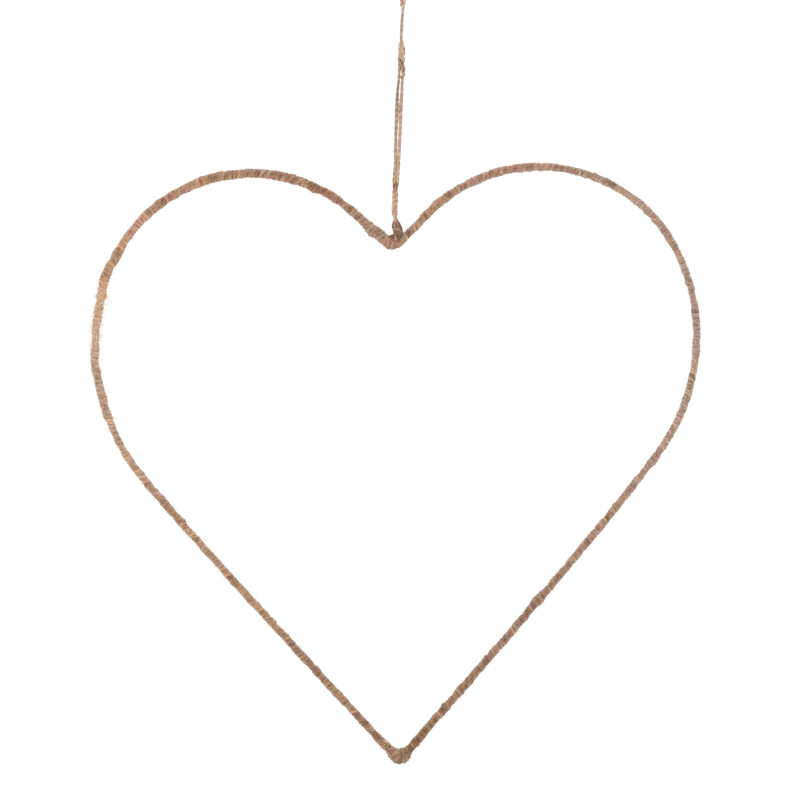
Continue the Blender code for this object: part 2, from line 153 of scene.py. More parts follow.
# The hanger's middle line as (x, z) in millimetres
HANGER_ROUTE = (
    (0.0, -24.0), (-0.2, -33.0), (-0.2, -36.0), (-0.7, -42.0), (-0.85, -46.5), (-1.05, -49.7),
    (-1.2, -53.0), (-1.0, -57.0), (-0.8, -61.5), (-1.2, -68.0), (-1.2, -74.0), (-1.7, -80.6),
    (-2.2, -89.0), (-2.8, -100.3), (-3.1, -110.2), (-3.7, -126.7), (-4.0, -137.2),
    (-4.6, -144.4), (-5.0, -151.0), (-5.2, -158.2), (-5.6, -165.5), (-5.4, -170.0),
    (-4.7, -174.3),
)
# The left leg beside and behind that line, in millimetres, and how thick either leg is, as a share
# of CORD_RADIUS, by the distance below the origin in millimetres; the right leg lies opposite
LEG_SIDE = (
    (80.6, -1.15), (89.0, -1.45), (93.0, -1.4), (97.0, -1.32), (106.0, -1.29), (110.0, -1.36),
    (118.0, -1.34), (127.0, -1.25), (132.5, -1.0), (140.0, -1.04), (149.0, -0.98), (155.5, 0.75),
    (168.0, 0.85), (173.0, 0.1), (175.0, -0.1),
)
LEG_DEPTH = (
    (130.0, 0.0), (136.0, 0.25), (142.0, 0.0), (146.0, 0.0), (149.5, -0.7), (152.3, -1.2),
    (155.5, -0.6), (163.0, 0.0), (168.0, 0.4), (173.0, 1.1),
)
LEG_SWELL = (
    (60.0, 1.0), (87.0, 1.0), (93.0, 1.15), (97.0, 1.26), (106.0, 1.26), (110.0, 1.12),
    (118.0, 1.08), (128.0, 1.12), (134.0, 1.15), (139.0, 1.25), (145.0, 1.22), (149.5, 1.2),
    (152.3, 1.55), (155.0, 1.25), (166.0, 1.15), (174.0, 1.0),
)
LEG_TOP = -HANGER_KNOT_DROP - HANGER_KNOT_LENGTH - 2.5 * MM  # a little under the long knot
# How light the cord is by the distance below the origin in millimetres
CORD_TONE = (
    (0.0, 0.4), (26.0, 1.2), (32.0, 1.2), (34.5, 0.5), (55.0, 0.5), (59.0, 0.4), (76.0, 0.4),
    (84.0, 0.0), (100.0, 0.1), (108.0, 0.3), (118.0, 0.65), (130.0, 0.9), (146.5, 0.75),
    (149.5, -0.8), (152.0, -0.8), (154.0, 0.6), (160.0, 1.1), (171.0, 1.1), (174.0, 0.3),
)
LONG_CORD_TONE = -0.1  # added to that for the long cord, and for the short leg
SHORT_LEG_TONE = 0.6
CORD_RADIUS = 0.56 * TWINE_DIAMETER  # with its fuzz
CORD_CREVICE_SHADE = 0.4  # how much painted shade darkens the cord between its two plies
# The long cord's way through its knot and up to the loop, its end below the loop, and the end
# of the short leg inside the knot, in millimetres
LONG_CORD_ABOVE = (
    (-2.7, -0.3, -79.0), (-2.5, -0.4, -76.0), (-2.3, -0.2, -72.4), (-1.8, 0.2, -68.1),
    (-0.9, 0.6, -63.5), (-0.5, 0.5, -59.5), (-0.8, 0.1, -56.0), (-1.2, 0.0, -53.0),
    (-1.05, 0.0, -49.7), (-0.85, 0.0, -46.5), (-0.7, 0.0, -42.0), (-0.2, 0.0, -36.0),
    (-0.05, 0.0, -33.8), (0.35, 0.0, -32.0), (0.7, 0.0, -30.0), (0.8, 0.0, -27.5),
)
LOOP_END = ((-0.86, 0.0, -26.0), (-0.95, 0.0, -28.5), (-0.9, 0.0, -30.6), (-0.75, 0.0, -32.1))
SHORT_LEG_END = ((-0.2, -0.2, -78.6), (0.0, 0.1, -76.0), (-0.6, 0.7, -73.0))
# Strands of the long knot and of the tie: (radius, tone, points), in millimetres
HANGER_KNOT_STRANDS = (
    (0.7, -0.9, ((-2.6, 0.6, -65.4), (-2.8, -0.4, -67.0), (-1.7, -1.4, -67.9),
                 (-0.5, -1.6, -69.3), (0.4, -1.4, -71.8), (0.8, -1.0, -74.2), (0.5, -0.4, -75.8))),
    (0.6, -1.3, ((-0.1, -0.9, -70.4), (0.4, -1.0, -72.6), (0.6, -0.7, -74.6), (0.3, 0.0, -76.4))),
    (0.55, 0.5, ((-2.7, -0.5, -68.9), (-1.6, -1.2, -70.0), (-0.8, -1.3, -71.6),
                 (-0.3, -1.0, -73.6), (-0.2, -0.6, -75.4))),
    (0.4, 2.0, ((-2.8, -1.1, -65.2), (-1.4, -1.9, -66.6), (0.1, -1.9, -67.8), (0.8, -1.2, -69.8))),
    (0.85, 0.7, ((-2.3, -0.1, -69.8), (-2.4, -0.6, -66.0), (-2.3, -0.7, -62.0), (-2.2, -0.4, -58.9),
                 (-1.7, 0.0, -55.8))),
    (0.8, 0.9, ((-0.2, -0.2, -70.4), (-0.2, -0.9, -66.0), (-0.1, -0.8, -62.0), (-0.2, -0.5, -58.6),
                (-0.4, -0.2, -54.9))),
    (0.85, 1.0, ((-1.2, -0.2, -71.4), (-1.3, -1.0, -66.5), (-1.1, -1.1, -62.0), (-1.2, -0.8, -58.6),
                 (-1.3, -0.3, -54.4))),
    (0.6, -0.6, ((0.6, 0.3, -58.6), (0.9, -0.1, -61.4), (0.7, 0.2, -64.4))),
    (0.5, 0.6, ((0.2, -0.2, -75.2), (1.0, -0.6, -76.0), (1.1, -0.5, -77.4), (0.5, -0.2, -78.6),
                (-0.2, 0.2, -79.8))),
    (0.6, -0.5, ((-2.4, 0.3, -79.0), (-1.7, -0.7, -78.6), (-0.9, -0.9, -79.2),
                 (-0.3, -0.2, -80.4))),
    (0.9, 0.2, ((-2.4, 0.8, -58.9), (-0.7, 1.3, -62.5), (0.3, 1.0, -66.5), (0.0, 0.7, -70.1))),
    (0.9, 0.0, ((0.3, 0.9, -60.2), (-1.4, 1.6, -64.2), (-2.3, 1.2, -68.8), (-2.2, 0.9, -72.4))),
    (0.7, 0.1, ((-2.5, 0.7, -70.2), (-1.6, 1.3, -72.4), (-0.4, 1.1, -74.6))),
)
TIE_STRANDS = (
    (0.65, -0.3, ((-5.4, 1.6, -176.4), (-6.9, -0.3, -177.8), (-5.4, -2.9, -178.9),
                  (-3.2, -3.7, -179.5), (-1.2, -3.0, -180.3), (-0.4, -0.6, -180.6),
                  (-1.4, 1.8, -179.2), (-3.5, 2.6, -178.0))),
    (0.55, -1.9, ((-6.6, -0.8, -174.4), (-6.8, -1.8, -176.2), (-6.5, -2.5, -178.0))),
    (0.45, 1.8, ((-6.2, -2.3, -175.9), (-5.4, -2.9, -176.8), (-4.7, -2.8, -177.8))),
    (0.55, -1.9, ((-4.9, -1.9, -174.8), (-4.2, -2.7, -176.4), (-3.9, -3.0, -178.2))),
    (0.7, -1.5, ((-3.6, -1.4, -173.6), (-2.3, -2.1, -175.6), (-1.2, -2.4, -178.0),
                 (-0.5, -2.2, -180.6))),
    (0.7, -1.6, ((-9.6, -1.6, -184.2), (-8.0, -2.9, -183.4), (-6.0, -3.6, -182.8),
                 (-4.2, -4.0, -183.0), (-2.4, -3.9, -183.4))),
    (0.5, 0.7, ((-6.4, -2.2, -180.4), (-5.7, -3.5, -182.6), (-4.9, -4.1, -184.8),
                (-4.4, -4.1, -187.2))),
    (0.5, -1.8, ((-3.2, -3.6, -181.6), (-2.9, -4.1, -184.0), (-3.2, -4.1, -187.0))),
    (1.5, -0.6, ((-4.7, 0.0, -174.5), (-4.2, 0.0, -178.0), (-4.0, 0.0, -183.5))),
    (1.5, -0.6, ((-5.3, 0.0, -178.5), (-5.2, 0.0, -181.0), (-5.0, 0.0, -184.5))),
    (1.5, -0.6, ((-2.6, 0.0, -178.5), (-2.6, 0.0, -181.0), (-2.8, 0.0, -184.5))),
)
# The strands that spread from the tie's neck round its bulb: heights, left and right sides, and
# half the depth from front to back, in millimetres
BULB_HEIGHTS = (-171.8, -174.6, -178.0, -181.5, -184.8, -188.8)
BULB_LEFT = (-5.5, -6.0, -6.5, -5.9, -6.9, -9.0)
BULB_RIGHT = (-3.9, -3.1, -1.1, -0.5, -0.7, -0.4)
BULB_DEPTH = (0.5, 1.2, 2.0, 2.8, 3.3, 2.9)
BULB_STRANDS = 18
BULB_RADIUS = 0.7  # of a strand, in millimetres
# How light those strands are by the distance below the origin in millimetres
TIE_TONE = (
    (171.0, 0.4), (173.0, -0.4), (177.0, -0.5), (178.5, 0.1), (180.5, -0.9), (183.5, -1.5),
    (186.0, -0.9), (189.0, 0.1),
)
TIE_TURNS = 11
TIE_TURN_STEPS = 26
TIE_TURN_RADIUS = 0.72 * MM
TIE_PLACES = (-8.2, 5.4)  # where the turns round the ring start and end, in mm from the cleft
TIE_BULGE = 0.75 * MM  # how much farther out the middle turns lie
# Loose strands over the winding at the tip, as for the knots
LOOSE_STRANDS = (
    (0.6, -1.3, ((-19.3, -1.8, -508.8), (-16.0, -2.3, -511.8), (-12.9, -2.4, -514.9),
                 (-9.9, -2.4, -517.5), (-7.4, -2.7, -519.7))),
    (0.45, 0.2, ((-19.2, -1.4, -508.1), (-15.4, -2.0, -511.0), (-12.6, -2.2, -513.8),
                 (-9.8, -2.0, -516.1), (-7.2, -2.3, -518.8), (-4.6, -2.6, -520.0))),
    (0.45, 0.9, ((-13.6, -2.7, -513.9), (-10.0, -2.7, -517.5), (-6.8, -2.6, -519.9),
                 (-3.6, -3.0, -521.2), (-0.8, -3.5, -522.4))),
    (0.5, -1.1, ((-2.4, -3.6, -521.2), (-0.8, -4.1, -522.4), (0.8, -3.9, -522.2),
                 (2.2, -3.0, -521.2))),
    (0.5, -0.8, ((-4.2, -3.9, -529.6), (-2.8, -4.3, -527.0), (-1.9, -4.4, -524.4),
                 (-1.4, -3.9, -521.8))),
    (0.5, 0.5, ((-11.9, -3.1, -520.9), (-9.7, -3.5, -523.1), (-7.7, -3.7, -525.3))),
    (0.45, 1.2, ((4.8, -2.9, -516.4), (6.4, -3.3, -518.2), (8.2, -2.9, -520.4))),
)

# The winding
RING_STEP = 0.5 * MM  # between points of the ring's middle line
TURN_PITCH = 4.6 * MM  # of each of the two strands, which are wound side by side
TURN_STEPS = 22
TIP_CLOSENESS = (0.45, 0.009)  # how much closer turns lie round the tip, and over which share
SECOND_STRAND = 0.47  # how far, in turns, the second strand lies from the first
STRAND_RADIUS = 1.08 * MM
FLAT = (0.68, 1.32)  # how far a wound strand is pressed flat, and how far that widens it
WRAP_PROUD = 0.18  # how far turns stand above the ring's plain thickness, in strand radii
UNDER_LAYER_DEPTH = 0.65  # how far the under layer lies below that thickness, in strand radii
UNDER_LAYER_STEPS = 1250
UNDER_LAYER_SIDES = 12
# The under layer's tone is painted shade, as deep in the winding's gaps
UNDER_LAYER_PAINTED_SHADE = -0.5

# The twine: how far its two plies lie from its middle, and their size, as shares of its radius
PLY_PLACE = 0.42
PLY_HALF_DEPTH = 0.58
PLY_HALF_WIDTH = 0.78
PLY_SIDES = 8
PLY_PITCH = 7.5 * MM  # of the cord; the wound twine is spun more loosely
WOUND_PLY_PITCH = 12.0 * MM
KNOT_STEP = 0.35 * MM  # between points along a strand of a knot, and of a cord
CORD_STEP = 0.4 * MM
STRAND_TAPER = 1.2 * MM  # the length of the tapered end of a strand along a given route

# Stray fibres
HAIR_POINTS = 5
HAIR_SIDES = 3
HANGER_HAIRS = 350
RING_HAIRS = 4600  # on each half of the ring
FRAYED_HAIRS = 620

# Slow tints: (direction, its two ends in metres, stops from one end to the other)
RING_TINTS = (
    ((0.9, 0.0, 0.35), (-0.3, 0.1), (
        (0.0, (1.0, 1.005, 0.97)), (0.25, (1.015, 1.01, 0.94)), (0.53, (0.98, 1.01, 0.985)),
        (0.64, (0.985, 1.005, 1.01)), (0.92, (0.945, 1.01, 1.18)),
    )),
    ((-0.3, 0.0, 0.95), (-0.4, 0.0), ((0.565, (1.0, 1.0, 1.0)), (0.62, (1.085, 0.98, 0.94)))),
)
CORD_TINTS = (
    ((0.0, 0.0, 1.0), (-0.1, 0.0), (
        (0.15, (1.0, 1.0, 1.0)), (0.25, (1.03, 0.99, 0.99)), (0.36, (1.0, 1.0, 1.08)),
        (0.50, (0.95, 1.01, 1.09)), (0.72, (0.97, 1.01, 1.18)),
    )),
)
TIE_TINTS = (
    ((0.0, 0.0, 1.0), (-0.19, -0.17), ((0.3, (1.07, 0.975, 0.97)), (0.75, (0.97, 1.01, 1.05)))),
)
# Tints by coarse streaks, by lengths of the twine, by patches and by the tone from -2 to 2, and
# the stray fibres' colours by their tone
STREAKS = ((0.36, (0.72, 0.70, 0.68)), (0.52, (1.0, 1.0, 1.0)), (0.66, (1.18, 1.16, 1.14)))
STREAK_STRENGTH = 0.85
LENGTHS = ((0.40, (1.022, 0.987, 1.075)), (0.60, (0.983, 1.005, 0.89)))
PATCHES = ((0.40, (0.98, 0.98, 1.08)), (0.60, (1.015, 1.01, 0.92)))
TONES = (
    (0.0, (0.43, 0.28, 0.21)), (0.25, (0.69, 0.58, 0.52)), (0.5, (0.985, 0.98, 0.975)),
    (1.0, (1.58, 1.62, 1.66)),
)
HAIR_TONES = ((0.0, (0.20, 0.12, 0.075)), (0.7, (0.55, 0.40, 0.28)), (1.0, (0.72, 0.585, 0.465)))
# The sockets of a Mix node that mixes colours
MIX_FACTOR, MIX_A, MIX_B, MIX_RESULT = 0, 6, 7, 2

# The view of the photo, and the light
CAMERA_DISTANCE = 1.6
CAMERA_PLACE = (-1.97 * MM, -CAMERA_DISTANCE, -291.2 * MM)
PHOTO_WIDTH = 0.5264  # how much the photo shows across, in metres
SENSOR_WIDTH = 36.0
WORLD_STRENGTH = 1.05
LIGHT_SIZE = 1.4
LIGHT_AIM = (0.0, 0.0, -0.3)
LIGHTS = (
    ("key", (-0.35, -1.4, 0.4), 17.0),
    ("fill", (0.7, -1.2, -0.9), 10.0),
)
FLOOR_HALF = 12.0
FLOOR_LEVEL = -0.75


def camera_and_light():
    scene = bpy.context.scene
    scene.view_settings.view_transform = "Standard"
    scene.view_settings.look = "None"
    camera = bpy.data.objects.new("camera", bpy.data.cameras.new("camera"))
    camera.location = CAMERA_PLACE
    camera.rotation_euler = (math.radians(90.0), 0.0, 0.0)
    camera.data.sensor_width = SENSOR_WIDTH
    camera.data.lens = SENSOR_WIDTH * CAMERA_DISTANCE / PHOTO_WIDTH
    scene.collection.objects.link(camera)
    scene.camera = camera

    world = bpy.data.worlds.new("white_room")
    world.use_nodes = True
    sky = world.node_tree.nodes["Background"]
    sky.inputs["Color"].default_value = (1.0, 1.0, 1.0, 1.0)
    sky.inputs["Strength"].default_value = WORLD_STRENGTH
    scene.world = world

    for name, place, power in LIGHTS:
        light = bpy.data.lights.new(name, "AREA")
        light.shape = "DISK"
        light.size = LIGHT_SIZE
        light.energy = power
        lamp = bpy.data.objects.new(name, light)
        lamp.location = place
        away = np.array(place) - np.array(LIGHT_AIM)
        lamp.rotation_euler = (
            math.atan2(math.hypot(away[0], away[1]), away[2]),
            0.0,
            math.atan2(away[0], -away[1]),
        )
        scene.collection.objects.link(lamp)


def floor():
    """A plain pale floor under the hanging heart."""
    corners = [
        (x * FLOOR_HALF, y * FLOOR_HALF, FLOOR_LEVEL)
        for x, y in ((-1, -1), (1, -1), (1, 1), (-1, 1))
    ]
    mesh = bpy.data.meshes.new("floor")
    mesh.from_pydata(corners, [], [(0, 1, 2, 3)])
    thing = bpy.data.objects.new("floor", mesh)
    bpy.context.scene.collection.objects.link(thing)
    material = bpy.data.materials.new("pale_floor")
    material.use_nodes = True
    shader = material.node_tree.nodes["Principled BSDF"]
    shader.inputs["Base Color"].default_value = (0.97, 0.97, 0.97, 1.0)
    shader.inputs["Roughness"].default_value = 1.0
    shader.inputs["Specular IOR Level"].default_value = 0.0
    mesh.materials.append(material)


def smooth_step(share):
    return share * share * (3.0 - 2.0 * share)


def wander(places, spacing, seed):
    """Smooth random values from -1 to 1 along a line, which change over about the spacing."""
    rng = np.random.default_rng(seed)
    grid = rng.uniform(-1.0, 1.0, int(places.max() / spacing) + 3)
    where = places / spacing
    index = np.floor(where).astype(int)
    share = smooth_step(where - index)
    return grid[index] * (1.0 - share) + grid[index + 1] * share


def blend_table(table, places):
    """Values at places in a table of (place, value), with a smooth step between rows."""
    keys = np.array([row[0] for row in table])
    values = np.array([row[1] for row in table])
    index = np.clip(np.searchsorted(keys, places) - 1, 0, len(keys) - 2)
    share = np.clip((places - keys[index]) / (keys[index + 1] - keys[index]), 0.0, 1.0)
    return values[index] + (values[index + 1] - values[index]) * smooth_step(share)


def travel(points):
    """How far along the line each point is."""
    steps = np.linalg.norm(np.diff(points, axis=0), axis=1)
    return np.concatenate(([0.0], np.cumsum(steps)))


def along(points, far, places):
    """The points at distances along a line."""
    return np.stack([np.interp(places, far, points[:, axis]) for axis in range(3)], axis=1)


def unit(vectors):
    return vectors / np.linalg.norm(vectors, axis=-1, keepdims=True)


def circle(sides):
    """The angles of a tube's sides."""
    return 2 * math.pi * np.arange(sides) / sides


def smooth_route(points, count):
    """Points on one smooth curve (Catmull-Rom) through the given ones, evenly by index."""
    points = np.array(points, float)
    padded = np.vstack((2 * points[0] - points[1], points, 2 * points[-1] - points[-2]))
    where = np.linspace(0.0, len(points) - 1, count)
    start = np.minimum(where.astype(int), len(points) - 2)
    t = (where - start)[:, None]
    p0, p1, p2, p3 = (padded[start + shift] for shift in range(4))
    return 0.5 * (
        2 * p1 + (p2 - p0) * t + (2 * p0 - 5 * p1 + 4 * p2 - p3) * t**2
        + (3 * p1 - p0 - 3 * p2 + p3) * t**3
    )


def even(points, step):
    """The same line with points about a step apart."""
    far = travel(points)
    count = max(4, round(far[-1] / step) + 1)
    return along(points, far, np.linspace(0.0, far[-1], count))


def half_outline(shares, side, reach, rise):
    """One half of the heart's plain outline, from the cleft to the tip."""
    controls = []
    for across, up in shares:
        height = up * rise if up > 0.0 else up * TIP_DEPTH
        controls.append(CLEFT + np.array((side * across * reach, 0.0, height)))
    t = np.linspace(0.0, 1.0, 121)[1:, None]
    u = 1.0 - t
    line = [controls[0][None, :]]
    for first in range(0, len(controls) - 1, 3):
        p0, p1, p2, p3 = controls[first:first + 4]
        line.append(u**3 * p0 + 3 * u**2 * t * p1 + 3 * u * t**2 * p2 + t**3 * p3)
    return np.vstack(line)


def bend(before, corner, after):
    """A rounded corner, without its two ends."""
    t = np.linspace(0.0, 1.0, 26)[1:-1, None]
    return (1 - t) ** 2 * before + 2 * t * (1 - t) * corner + t**2 * after


def heart_line():
    """The closed middle line of the ring, from the cleft down the right side and back."""
    right = half_outline(RIGHT_HALF, 1.0, RIGHT_REACH, RIGHT_RISE)
    left = half_outline(LEFT_HALF, -1.0, LEFT_REACH, LEFT_RISE)
    arms = []
    for line in (right, left):
        far = travel(line)
        arms.append(along(line, far, np.linspace(CLEFT_BEND, far[-1] - TIP_BEND, 1200)))
    down, up = arms[0], arms[1][::-1]
    tip = bend(down[-1], right[-1], up[0])
    cleft = bend(up[-1], right[0], down[0])
    middle = len(cleft) // 2
    loop = np.vstack((cleft[middle:], down, tip, up, cleft[:middle], cleft[middle:middle + 1]))
    return even(loop, RING_STEP)


RING = heart_line()
RING_FAR = travel(RING)
RING_LENGTH = RING_FAR[-1]
AHEAD = unit(np.roll(RING[:-1], -3, axis=0) - np.roll(RING[:-1], 3, axis=0))
RING_AHEAD = np.vstack((AHEAD, AHEAD[:1]))


def ring_frame(places):
    """The ring's middle, its direction and its inward side at distances round it."""
    places = np.mod(places, RING_LENGTH)
    middle = along(RING, RING_FAR, places)
    ahead = unit(along(RING_AHEAD, RING_FAR, places))
    inward = np.stack((ahead[:, 2], np.zeros(len(places)), -ahead[:, 0]), axis=1)
    sway = blend_table(RING_SWAY, places / MM)
    return middle + sway[:, None] * MM * inward, ahead, inward


def ring_radius(places):
    share = np.mod(places, RING_LENGTH) / RING_LENGTH
    return 0.5 * WRAP_DIAMETER * blend_table(THICKNESS, share)


def carried_frames(path):
    """A side direction at each point of a path, carried along it without twisting."""
    ahead = unit(np.gradient(path, axis=0))
    start = BACK if abs(ahead[0] @ BACK) < 0.9 else UP
    sides = np.empty_like(path)
    side = start - ahead[0] * (start @ ahead[0])
    for index, forward in enumerate(ahead):
        side = side - forward * (side @ forward)
        side = side / np.linalg.norm(side)
        sides[index] = side
    return sides


def add_attribute(mesh, name, kind, field, values):
    """A value at each point, for the material."""
    attribute = mesh.attributes.new(name, kind, "POINT")
    attribute.data.foreach_set(field, values.astype(np.float32).ravel())


def place_piece(name, mesh, material, replaces=()):
    """Makes a mesh a piece of the object."""
    mesh.materials.append(material)
    thing = bpy.data.objects.new(name, mesh)
    bpy.context.scene.collection.objects.link(thing)
    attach(thing, BODY)
    if replaces:
        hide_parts(*replaces)
    return thing


class Strands:
    """Closed tubes gathered into one mesh, with a fibre coordinate and a tone at each point."""

    def __init__(self):
        self.points, self.fibre, self.tone = [], [], []
        self.faces, self.count = [], 0

    def add(self, rings, fibre, tone):
        """One tube: rings is (steps, sides, 3); its ends are closed by a point each."""
        steps, sides = rings.shape[:2]
        ends = np.stack((rings[0].mean(axis=0), rings[-1].mean(axis=0)))
        self.points += [rings.reshape(-1, 3), ends]
        self.fibre += [fibre.reshape(-1, 3), np.stack((fibre[0, 0], fibre[-1, 0]))]
        tone = np.broadcast_to(tone.reshape(steps, -1), (steps, sides))
        self.tone += [tone.ravel(), tone[[0, -1], 0]]
        here = self.count + np.arange(steps * sides).reshape(steps, sides)
        across = np.roll(here, -1, axis=1)
        quads = np.stack((here[:-1], across[:-1], across[1:], here[1:]), axis=2)
        start, finish = self.count + steps * sides, self.count + steps * sides + 1
        starts = [(start, b, a) for a, b in zip(here[0], across[0])]
        finishes = [(finish, a, b) for a, b in zip(here[-1], across[-1])]
        self.faces.append((quads.reshape(-1, 4), np.array(starts + finishes)))
        self.count += steps * sides + 2

    def make(self, name, material, replaces=()):
        """The gathered tubes as one piece."""
        quads = np.vstack([pair[0] for pair in self.faces])
        caps = np.vstack([pair[1] for pair in self.faces])
        corners = np.concatenate((quads.ravel(), caps.ravel())).astype(np.int32)
        sizes = np.concatenate((np.full(len(quads), 4), np.full(len(caps), 3)))
        starts = np.concatenate(([0], np.cumsum(sizes)[:-1])).astype(np.int32)
        mesh = bpy.data.meshes.new(name)
        mesh.vertices.add(self.count)
        mesh.vertices.foreach_set("co", np.vstack(self.points).astype(np.float32).ravel())
        mesh.loops.add(len(corners))
        mesh.loops.foreach_set("vertex_index", corners)
        mesh.polygons.add(len(sizes))
        mesh.polygons.foreach_set("loop_start", starts)
        mesh.update(calc_edges=True)
        add_attribute(mesh, "fibre", "FLOAT_VECTOR", "vector", np.vstack(self.fibre))
        add_attribute(mesh, "tone", "FLOAT", "value", np.concatenate(self.tone))
        mesh.polygons.foreach_set("use_smooth", np.ones(len(sizes), bool))
        mesh.validate()
        return place_piece(name, mesh, material, replaces)


def twine(strands, path, radius, seed, tones, sides_out=None, flat=(1.0, 1.0), taper=None,
          crevice_shade=0.2, pitch=PLY_PITCH):
    """Adds a two-ply twine along a path; returns points on its skin with their directions.

    Its twist, thickness, roughness and tone vary a little, each with a seed of its own.
    """
    rng = np.random.default_rng(seed)
    ahead = unit(np.gradient(path, axis=0))
    out = carried_frames(path) if sides_out is None else sides_out
    out = unit(out - ahead * np.sum(out * ahead, axis=1, keepdims=True))
    across = np.cross(ahead, out)
    far = travel(path)
    turned = 2 * math.pi * far / pitch + 0.6 * wander(far, 6 * MM, seed + 1)
    swell = 1.0 + 0.06 * wander(far, 5 * MM, seed + 2)
    if taper:
        swell *= np.sqrt(np.clip(np.minimum(far, far[-1] - far) / taper, 0.06, 1.0))
    angles = circle(PLY_SIDES)
    skins = []
    for ply in range(2):
        turn = turned + math.pi * ply
        ply_out = np.cos(turn)[:, None] * out + np.sin(turn)[:, None] * across
        ply_across = np.cos(turn)[:, None] * across - np.sin(turn)[:, None] * out
        rough = 1.0 + 0.045 * rng.normal(size=(len(path), PLY_SIDES))
        size = (radius * swell * (1.0 + 0.05 * wander(far, 3 * MM, seed + 7 + ply)))[:, None]
        near = PLY_PLACE * size + PLY_HALF_DEPTH * size * np.cos(angles) * rough
        wide = PLY_HALF_WIDTH * size * np.sin(angles) * rough
        high = near * np.cos(turn)[:, None] - wide * np.sin(turn)[:, None]
        broad = near * np.sin(turn)[:, None] + wide * np.cos(turn)[:, None]
        rings = (
            path[:, None, :]
            + flat[0] * high[:, :, None] * out[:, None, :]
            + flat[1] * broad[:, :, None] * across[:, None, :]
        )
        spin = turn[:, None] + angles[None, :]
        lane = 40.0 * rng.uniform()  # each ply's own place in the fibre pattern
        fibre = np.stack(
            (
                np.repeat(far[:, None], PLY_SIDES, axis=1) / MM + lane,
                np.cos(spin) * size / MM + lane,
                np.sin(spin) * size / MM,
            ),
            axis=2,
        )
        ply_tone = tones + 0.25 * (rng.uniform(-1, 1) + wander(far, 4 * MM, seed + 11 + ply))
        # Painted shade: each ply is darker towards its inner side, where it meets the other ply
        strands.add(rings, fibre, ply_tone[:, None] - crevice_shade * (1.0 - np.cos(angles)))
        outer = (
            np.cos(angles)[None, :, None] * ply_out[:, None, :]
            + np.sin(angles)[None, :, None] * ply_across[:, None, :]
        )
        skins.append((
            rings[:, ::2].reshape(-1, 3), outer[:, ::2].reshape(-1, 3),
            np.repeat(ahead, PLY_SIDES // 2, axis=0),
        ))
    return [np.vstack(parts) for parts in zip(*skins)]


def add_hairs(strands, skins, count, seed, reach=(1.0, 5.0), lift=(0.1, 0.85), tones=(-0.2, 1.0),
              thick=(0.03, 0.09), stray=1.0):
    """Fine stray fibres that leave the skin at one end and curve back along it.

    Their reach, lift and thickness are ranges in millimetres; stray says how much they lean.
    """
    rng = np.random.default_rng(seed)
    points, outs, aheads = (np.vstack(parts) for parts in zip(*skins))
    shares = np.linspace(0.0, 1.0, HAIR_POINTS)[:, None]
    angles = circle(HAIR_SIDES)
    for pick in rng.integers(len(points), size=count):
        out, ahead = outs[pick], aheads[pick] * rng.choice((-1.0, 1.0))
        side = np.cross(out, ahead)
        length = rng.uniform(*reach) * MM
        height = rng.uniform(*lift) ** 1.5 * MM
        lean = rng.normal(0.0, 0.35 * stray)
        curl = rng.normal(0.0, 0.25 * stray)
        forward = ahead * math.cos(lean) + side * math.sin(lean)
        rise = np.sin(shares * rng.uniform(1.2, 3.0))
        path = (
            points[pick] - out * 0.05 * MM
            + forward * length * shares
            + out * height * rise
            + side * curl * length * shares**2
        )
        size = rng.uniform(*thick) * MM * (1.0 - 0.7 * shares)
        one_side = carried_frames(path)
        other_side = np.cross(unit(np.gradient(path, axis=0)), one_side)
        rings = path[:, None, :] + size[:, :, None] * (
            np.cos(angles)[None, :, None] * one_side[:, None, :]
            + np.sin(angles)[None, :, None] * other_side[:, None, :]
        )
        tone = np.full(len(path), rng.uniform(*tones))
        strands.add(rings, np.zeros((len(path), HAIR_SIDES, 3)), tone)


def multiply(tree, colour, tint, factor=1.0):
    """The colour multiplied by the tint, as far as the factor says."""
    node = tree.nodes.new("ShaderNodeMix")
    node.data_type = "RGBA"
    node.blend_type = "MULTIPLY"
    node.clamp_factor = True
    node.inputs[MIX_FACTOR].default_value = factor
    tree.links.new(colour, node.inputs[MIX_A])
    tree.links.new(tint, node.inputs[MIX_B])
    return node.outputs[MIX_RESULT]


def noise(tree, vector, scale, detail, roughness=0.55):
    node = tree.nodes.new("ShaderNodeTexNoise")
    node.inputs["Scale"].default_value = scale
    node.inputs["Detail"].default_value = detail
    node.inputs["Roughness"].default_value = roughness
    tree.links.new(vector, node.inputs["Vector"])
    return node.outputs["Fac"]


def stretch(tree, vector, scale):
    node = tree.nodes.new("ShaderNodeVectorMath")
    node.operation = "MULTIPLY"
    node.inputs[1].default_value = scale
    tree.links.new(vector, node.inputs[0])
    return node.outputs[0]


def ramp(tree, value, stops):
    node = tree.nodes.new("ShaderNodeValToRGB")
    while len(node.color_ramp.elements) < len(stops):
        node.color_ramp.elements.new(0.5)
    for element, (place, colour) in zip(node.color_ramp.elements, stops):
        element.position = place
        element.color = (*colour, 1.0)
    tree.links.new(value, node.inputs["Fac"])
    return node.outputs["Color"]


def spread(tree, value, low, high):
    """The value as a share from 0 at low to 1 at high."""
    node = tree.nodes.new("ShaderNodeMapRange")
    for socket, bound in zip(node.inputs[1:5], (low, high, 0.0, 1.0)):
        socket.default_value = bound
    tree.links.new(value, node.inputs[0])
    return node.outputs[0]


def drift(tree, place, direction, ends, stops):
    """A tint that changes slowly along a direction, between two distances from the origin."""
    node = tree.nodes.new("ShaderNodeVectorMath")
    node.operation = "DOT_PRODUCT"
    node.inputs[1].default_value = direction
    tree.links.new(place, node.inputs[0])
    return ramp(tree, spread(tree, node.outputs["Value"], *ends), stops)


def new_material(name):
    """A material with its node tree and its shader."""
    material = bpy.data.materials.new(name)
    material.use_nodes = True
    return material, material.node_tree, material.node_tree.nodes["Principled BSDF"]


def attribute(tree, name):
    node = tree.nodes.new("ShaderNodeAttribute")
    node.attribute_name = name
    return node


